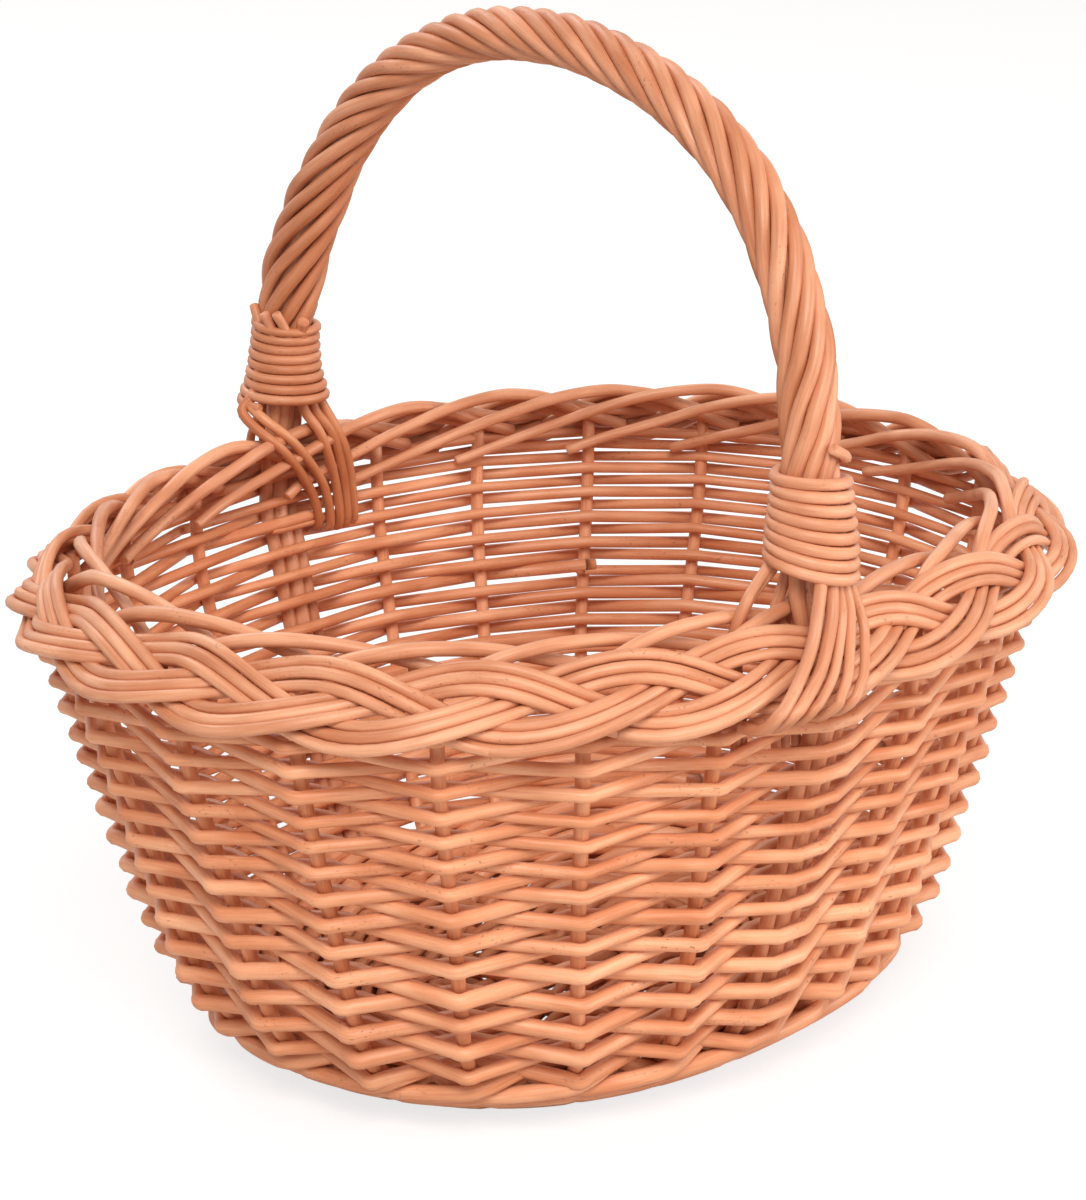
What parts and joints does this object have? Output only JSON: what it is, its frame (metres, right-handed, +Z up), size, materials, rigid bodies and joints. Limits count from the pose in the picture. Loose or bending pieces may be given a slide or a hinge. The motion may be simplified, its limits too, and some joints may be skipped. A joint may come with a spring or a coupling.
{
  "type": "foraging basket",
  "caption": "Oval woven willow foraging basket with randed sides, plaited border and a roped bow handle bound at both feet",
  "frame": {"origin": "centre of the oval footprint on the resting plane, under the middle of the bounding box", "axes": "+Z up, +X along the oval's long side, +Y to the far foot of the bow handle; the bow spans the short side"},
  "size_m": [0.4181, 0.3524, 0.3715],
  "materials": {
    "base_long_stick_1": "satin",
    "base_long_stick_2": "satin",
    "base_long_stick_3": "satin",
    "base_short_stick_1": "satin",
    "base_short_stick_2": "satin",
    "base_short_stick_3": "satin",
    "base_short_stick_4": "satin",
    "base_short_stick_5": "satin",
    "base_weave": "satin",
    "border_roll_left": "satin",
    "border_roll_right": "satin",
    "border_strand_left_1": "satin",
    "border_strand_left_2": "satin",
    "border_strand_left_3": "satin",
    "border_strand_right_1": "satin",
    "border_strand_right_2": "satin",
    "border_strand_right_3": "satin",
    "handle_binding_far": "satin",
    "handle_binding_near": "satin",
    "handle_bow": "satin",
    "handle_rope_strand_1": "satin",
    "handle_rope_strand_2": "satin",
    "handle_rope_strand_3": "satin",
    "handle_rope_strand_4": "satin",
    "handle_tail_inner_far": "satin",
    "handle_tail_inner_near": "satin",
    "handle_tail_outer_far": "satin",
    "handle_tail_outer_near": "satin",
    "side_stake_01": "satin",
    "side_stake_02": "satin",
    "side_stake_03": "satin",
    "side_stake_04": "satin",
    "side_stake_05": "satin",
    "side_stake_06": "satin",
    "side_stake_07": "satin",
    "side_stake_08": "satin",
    "side_stake_09": "satin",
    "side_stake_10": "satin",
    "side_stake_11": "satin",
    "side_stake_12": "satin",
    "side_stake_13": "satin",
    "side_stake_14": "satin",
    "side_stake_15": "satin",
    "side_stake_16": "satin",
    "side_stake_17": "satin",
    "side_stake_18": "satin",
    "side_stake_19": "satin",
    "side_stake_20": "satin",
    "side_stake_21": "satin",
    "side_weaver_1": "satin",
    "side_weaver_2": "satin",
    "side_weaver_3": "satin",
    "side_weaver_4": "satin",
    "side_weaver_5": "satin",
    "side_weaver_6": "satin",
    "side_weaver_7": "satin"
  },
  "bodies": {
    "root": {"base_long_stick_1": "base_long_stick_1", "base_long_stick_2": "base_long_stick_2", "base_long_stick_3": "base_long_stick_3", "base_short_stick_1": "base_short_stick_1", "base_short_stick_2": "base_short_stick_2", "base_short_stick_3": "base_short_stick_3", "base_short_stick_4": "base_short_stick_4", "base_short_stick_5": "base_short_stick_5", "base_weave": "base_weave", "border_roll_left": "border_roll_left", "border_roll_right": "border_roll_right", "border_strand_left_1": "border_strand_left_1", "border_strand_left_2": "border_strand_left_2", "border_strand_left_3": "border_strand_left_3", "border_strand_right_1": "border_strand_right_1", "border_strand_right_2": "border_strand_right_2", "border_strand_right_3": "border_strand_right_3", "handle_binding_far": "handle_binding_far", "handle_binding_near": "handle_binding_near", "handle_bow": "handle_bow", "handle_rope_strand_1": "handle_rope_strand_1", "handle_rope_strand_2": "handle_rope_strand_2", "handle_rope_strand_3": "handle_rope_strand_3", "handle_rope_strand_4": "handle_rope_strand_4", "handle_tail_inner_far": "handle_tail_inner_far", "handle_tail_inner_near": "handle_tail_inner_near", "handle_tail_outer_far": "handle_tail_outer_far", "handle_tail_outer_near": "handle_tail_outer_near", "side_stake_01": "side_stake_01", "side_stake_02": "side_stake_02", "side_stake_03": "side_stake_03", "side_stake_04": "side_stake_04", "side_stake_05": "side_stake_05", "side_stake_06": "side_stake_06", "side_stake_07": "side_stake_07", "side_stake_08": "side_stake_08", "side_stake_09": "side_stake_09", "side_stake_10": "side_stake_10", "side_stake_11": "side_stake_11", "side_stake_12": "side_stake_12", "side_stake_13": "side_stake_13", "side_stake_14": "side_stake_14", "side_stake_15": "side_stake_15", "side_stake_16": "side_stake_16", "side_stake_17": "side_stake_17", "side_stake_18": "side_stake_18", "side_stake_19": "side_stake_19", "side_stake_20": "side_stake_20", "side_stake_21": "side_stake_21", "side_weaver_1": "side_weaver_1", "side_weaver_2": "side_weaver_2", "side_weaver_3": "side_weaver_3", "side_weaver_4": "side_weaver_4", "side_weaver_5": "side_weaver_5", "side_weaver_6": "side_weaver_6", "side_weaver_7": "side_weaver_7"}
  },
  "joints": []
}
